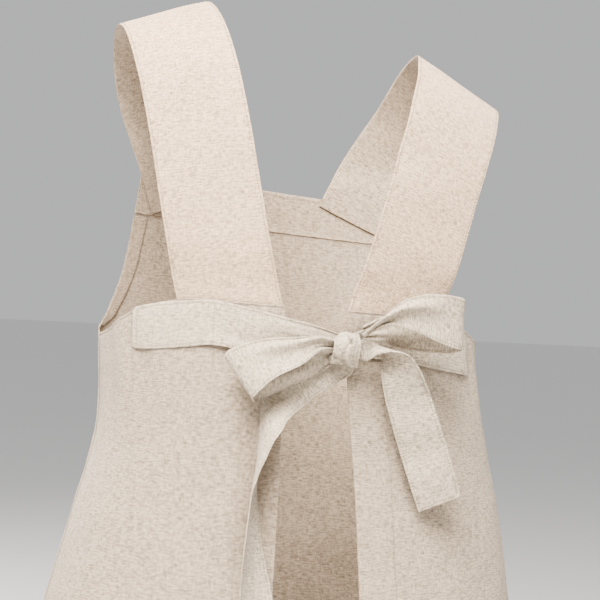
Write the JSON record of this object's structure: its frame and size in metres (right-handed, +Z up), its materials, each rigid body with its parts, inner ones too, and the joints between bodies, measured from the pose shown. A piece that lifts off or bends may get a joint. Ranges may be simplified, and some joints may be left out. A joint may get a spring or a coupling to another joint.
{
  "type": "smock apron",
  "caption": "Linen smock apron, shaped as worn: wide shoulder straps, an open back held by a waist tie with a bow, and gaping patch pockets on the front.",
  "frame": {"origin": "on the wearer's centre line, at the height midway between the two points where the straps rest on the shoulders", "axes": "+Z up, the wearer faces -Y so the open back looks along +Y, +X to the wearer's left"},
  "size_m": [0.5454, 0.3791, 0.9858],
  "materials": {
    "linen_panel": "washed plain-weave linen",
    "linen_facing": "washed plain-weave linen, inside face",
    "linen_strap": "washed plain-weave linen, doubled and edge-stitched",
    "linen_tie": "washed plain-weave linen, folded double"
  },
  "bodies": {
    "apron": {"front_panel": "linen_panel", "bib_facing": "linen_facing", "hem_front": "linen_facing", "armhole_facing_left": "linen_facing", "back_left": "linen_panel", "back_top_facing_left": "linen_facing", "centre_facing_left": "linen_facing", "side_seam_left": "linen_panel", "strap_left": "linen_strap", "strap_lining_left": "linen_facing", "tie_left_anchor": "linen_tie", "tie_left_span": "linen_tie", "pocket_left": "linen_panel", "pocket_hem_left": "linen_facing", "armhole_facing_right": "linen_facing", "back_right": "linen_panel", "back_top_facing_right": "linen_facing", "centre_facing_right": "linen_facing", "side_seam_right": "linen_panel", "strap_right": "linen_strap", "strap_lining_right": "linen_facing", "tie_right_anchor": "linen_tie", "tie_right_span": "linen_tie", "pocket_right": "linen_panel", "pocket_hem_right": "linen_facing", "bow_knot": "linen_tie", "tie_left_fall": "linen_tie", "tie_right_curl": "linen_tie"},
    "left_flap": {"skirt_flap_left": "linen_panel", "flap_facing_left": "linen_facing", "flap_hem_left": "linen_facing"},
    "right_flap": {"skirt_flap_right": "linen_panel", "flap_facing_right": "linen_facing", "flap_hem_right": "linen_facing"},
    "left_loop": {"bow_loop_left": "linen_tie"},
    "right_loop": {"bow_loop_right": "linen_tie"},
    "left_tail": {"tie_left_tail": "linen_tie"},
    "right_tail": {"tie_right_tail": "linen_tie"}
  },
  "joints": [
    {"name": "left_flap_swing", "type": "hinge", "parent": "apron", "child": "left_flap", "pos_m": [0.2345, 0, -0.61], "axis": [0.109, 0, -0.994], "range_deg": [0, 40]},
    {"name": "right_flap_swing", "type": "hinge", "parent": "apron", "child": "right_flap", "pos_m": [-0.2413, 0, -0.61], "axis": [0.0955, 0, 0.9954], "range_deg": [0, 40]},
    {"name": "left_loop_tilt", "type": "hinge", "parent": "apron", "child": "left_loop", "pos_m": [-0.028, 0.133, -0.28], "axis": [0, -1, 0], "range_deg": [-1, 20]},
    {"name": "right_loop_tilt", "type": "hinge", "parent": "apron", "child": "right_loop", "pos_m": [-0.028, 0.133, -0.28], "axis": [0, 1, 0], "range_deg": [-1, 20]},
    {"name": "left_tail_swing", "type": "hinge", "parent": "apron", "child": "left_tail", "pos_m": [0.03605, 0.1332, -0.33735], "axis": [0.5735, -0.7006, 0.4247], "range_deg": [0, 50]},
    {"name": "right_tail_swing", "type": "hinge", "parent": "apron", "child": "right_tail", "pos_m": [-0.079, 0.13892, -0.3109], "axis": [0.9482, -0.3079, -0.0779], "range_deg": [0, 70]}
  ]
}
